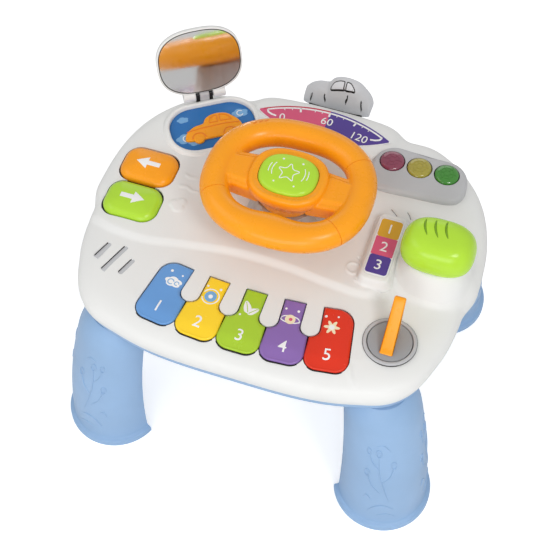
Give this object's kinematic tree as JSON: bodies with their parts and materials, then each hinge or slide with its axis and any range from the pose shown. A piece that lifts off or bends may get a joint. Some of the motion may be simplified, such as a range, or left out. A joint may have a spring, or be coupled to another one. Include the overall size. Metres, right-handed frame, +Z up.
{
  "type": "activity table",
  "caption": "Toddler's electronic activity table: steering wheel, piano keys, gear knob, ignition key, lights and a flip mirror on a deck with removable push-fit legs.",
  "frame": {"origin": "on the floor, at the middle of the footprint between the front feet and the toy car", "axes": "+Z up, +X to the child's right, +Y away from the child; the child stands on the -Y side"},
  "size_m": [0.3758, 0.3475, 0.297],
  "materials": {
    "shell_white": "satin moulded ABS, bright white",
    "base_blue": "satin moulded ABS, pale blue",
    "orange_plastic": "satin moulded ABS, warm orange",
    "lime_plastic": "satin moulded ABS, lime green",
    "key_blue": "satin moulded ABS, sky blue with a printed motif",
    "key_yellow": "satin moulded ABS, yellow with a printed motif",
    "key_green": "satin moulded ABS, green with a printed motif",
    "key_purple": "satin moulded ABS, purple with a printed motif",
    "key_red": "satin moulded ABS, red with a printed motif",
    "grey_plastic": "satin moulded ABS, light grey",
    "mechanism_plastic": "plain moulded acetal, natural grey",
    "tray_blue": "moulded ABS, deep blue with a paler print",
    "lens_red": "translucent red styrene",
    "lens_yellow": "translucent yellow styrene",
    "lens_green": "translucent green styrene",
    "dial_print": "printed film, pink to purple with a plain scale",
    "gear_print": "printed film, three plain coloured fields",
    "mirror_film": "shatterproof silvered acrylic",
    "steel": "zinc-plated steel",
    "silicone": "translucent silicone rubber",
    "circuit_board": "green solder mask",
    "black_plastic": "fine matt black",
    "cell_wrap": "plain wrapped dry cell"
  },
  "bodies": {
    "root": {"top_shell": "shell_white", "bottom_shell": "base_blue", "battery_cover": "base_blue", "battery_cover_screw": "steel", "battery_cell_1": "cell_wrap", "battery_cell_2": "cell_wrap", "battery_contact_left": "steel", "battery_contact_right": "steel", "housing_screw_1": "steel", "housing_screw_2": "steel", "housing_screw_3": "steel", "housing_screw_4": "steel", "leg_front_left": "base_blue", "leg_front_right": "base_blue", "leg_rear_left": "base_blue", "leg_rear_right": "base_blue", "lever_pivot_screw": "steel", "picture_panel": "tray_blue", "relief_car": "orange_plastic", "turn_dome_left": "silicone", "turn_dome_right": "silicone", "turn_switch_board": "circuit_board", "key_carrier": "mechanism_plastic", "key_board": "circuit_board", "key_contact_mat": "silicone", "traffic_panel": "grey_plastic", "lens_dome_red": "silicone", "lens_dome_yellow": "silicone", "lens_dome_green": "silicone", "lamp_board": "circuit_board", "dial_label": "dial_print", "gear_label": "gear_print", "ignition_ring": "grey_plastic", "main_board": "circuit_board", "speaker": "black_plastic"},
    "steering": {"steering_wheel": "orange_plastic", "steering_shaft": "mechanism_plastic", "crank_disc": "mechanism_plastic", "horn_dome": "silicone"},
    "horn": {"horn_button": "lime_plastic"},
    "swing": {"swing_lever": "mechanism_plastic", "toy_car": "grey_plastic"},
    "mirror": {"mirror_lid": "shell_white", "mirror_plate": "mirror_film", "lid_hinge_pin": "steel"},
    "shift": {"shift_knob": "lime_plastic", "shift_slider": "mechanism_plastic"},
    "ignition": {"ignition_rotor": "grey_plastic", "ignition_key": "orange_plastic"},
    "turn_left": {"turn_button_left": "orange_plastic"},
    "turn_right": {"turn_button_right": "lime_plastic"},
    "key_1": {"piano_key_1": "key_blue"},
    "key_2": {"piano_key_2": "key_yellow"},
    "key_3": {"piano_key_3": "key_green"},
    "key_4": {"piano_key_4": "key_purple"},
    "key_5": {"piano_key_5": "key_red"},
    "light_red": {"lens_red": "lens_red"},
    "light_yellow": {"lens_yellow": "lens_yellow"},
    "light_green": {"lens_green": "lens_green"},
    "switch": {"power_switch": "black_plastic"}
  },
  "joints": [
    {"name": "steering_turn", "type": "hinge", "parent": "root", "child": "steering", "pos_m": [0, 0.00145, 0.27], "axis": [0, 0, 1], "range_deg": [-40, 40]},
    {"name": "horn_press", "type": "slide", "parent": "steering", "child": "horn", "axis": [0, 0, -1], "range_m": [0, 0.002], "stiffness_N_per_m": 400, "springref_m": -0.002, "deforming": ["horn_dome"]},
    {"name": "car_swing", "type": "hinge", "parent": "root", "child": "swing", "pos_m": [0, -0.05655, 0.185], "axis": [0, 0, 1], "range_deg": [-11.56, 11.56]},
    {"name": "mirror_close", "type": "hinge", "parent": "root", "child": "mirror", "pos_m": [-0.11988, 0.10637, 0.2326], "axis": [0.8329, 0.5534, 0], "range_deg": [0, 111.5]},
    {"name": "turn_left_press", "type": "slide", "parent": "root", "child": "turn_left", "axis": [0, 0, -1], "range_m": [0, 0.0025], "stiffness_N_per_m": 400, "springref_m": -0.002, "deforming": ["turn_dome_left"]},
    {"name": "turn_right_press", "type": "slide", "parent": "root", "child": "turn_right", "axis": [0, 0, -1], "range_m": [0, 0.0025], "stiffness_N_per_m": 400, "springref_m": -0.002, "deforming": ["turn_dome_right"]},
    {"name": "key_1_press", "type": "hinge", "parent": "root", "child": "key_1", "pos_m": [-0.06861, -0.07275, 0.2136], "axis": [0.9903, -0.1392, 0], "range_deg": [0, 2.6], "stiffness_Nm_per_rad": 0.6, "springref_deg": -1.72},
    {"name": "key_2_press", "type": "hinge", "parent": "root", "child": "key_2", "pos_m": [-0.03439, -0.07635, 0.2136], "axis": [0.9976, -0.0698, 0], "range_deg": [0, 2.6], "stiffness_Nm_per_rad": 0.6, "springref_deg": -1.72},
    {"name": "key_3_press", "type": "hinge", "parent": "root", "child": "key_3", "pos_m": [0, -0.07755, 0.2136], "axis": [1, 0, 0], "range_deg": [0, 2.6], "stiffness_Nm_per_rad": 0.6, "springref_deg": -1.72},
    {"name": "key_4_press", "type": "hinge", "parent": "root", "child": "key_4", "pos_m": [0.03439, -0.07635, 0.2136], "axis": [0.9976, 0.0698, 0], "range_deg": [0, 2.6], "stiffness_Nm_per_rad": 0.6, "springref_deg": -1.72},
    {"name": "key_5_press", "type": "hinge", "parent": "root", "child": "key_5", "pos_m": [0.06861, -0.07275, 0.2136], "axis": [0.9903, 0.1392, 0], "range_deg": [0, 2.6], "stiffness_Nm_per_rad": 0.6, "springref_deg": -1.72},
    {"name": "light_red_press", "type": "slide", "parent": "root", "child": "light_red", "axis": [0, 0, -1], "range_m": [0, 0.002], "stiffness_N_per_m": 300, "springref_m": -0.002, "deforming": ["lens_dome_red"]},
    {"name": "light_yellow_press", "type": "slide", "parent": "root", "child": "light_yellow", "axis": [0, 0, -1], "range_m": [0, 0.002], "stiffness_N_per_m": 300, "springref_m": -0.002, "deforming": ["lens_dome_yellow"]},
    {"name": "light_green_press", "type": "slide", "parent": "root", "child": "light_green", "axis": [0, 0, -1], "range_m": [0, 0.002], "stiffness_N_per_m": 300, "springref_m": -0.002, "deforming": ["lens_dome_green"]},
    {"name": "shift_slide", "type": "slide", "parent": "root", "child": "shift", "axis": [0, 1, 0], "range_m": [-0.009, 0.009]},
    {"name": "ignition_turn", "type": "hinge", "parent": "root", "child": "ignition", "pos_m": [0.1227, -0.09555, 0.222], "axis": [0, 0, -1], "range_deg": [0, 60], "stiffness_Nm_per_rad": 0.05, "springref_deg": -5.73},
    {"name": "power_slide", "type": "slide", "parent": "root", "child": "switch", "axis": [1, 0, 0], "range_m": [-0.003, 0.003]}
  ],
  "couplings": [
    {"joint": "car_swing", "follows": "steering_turn", "ratio": 0.289}
  ]
}
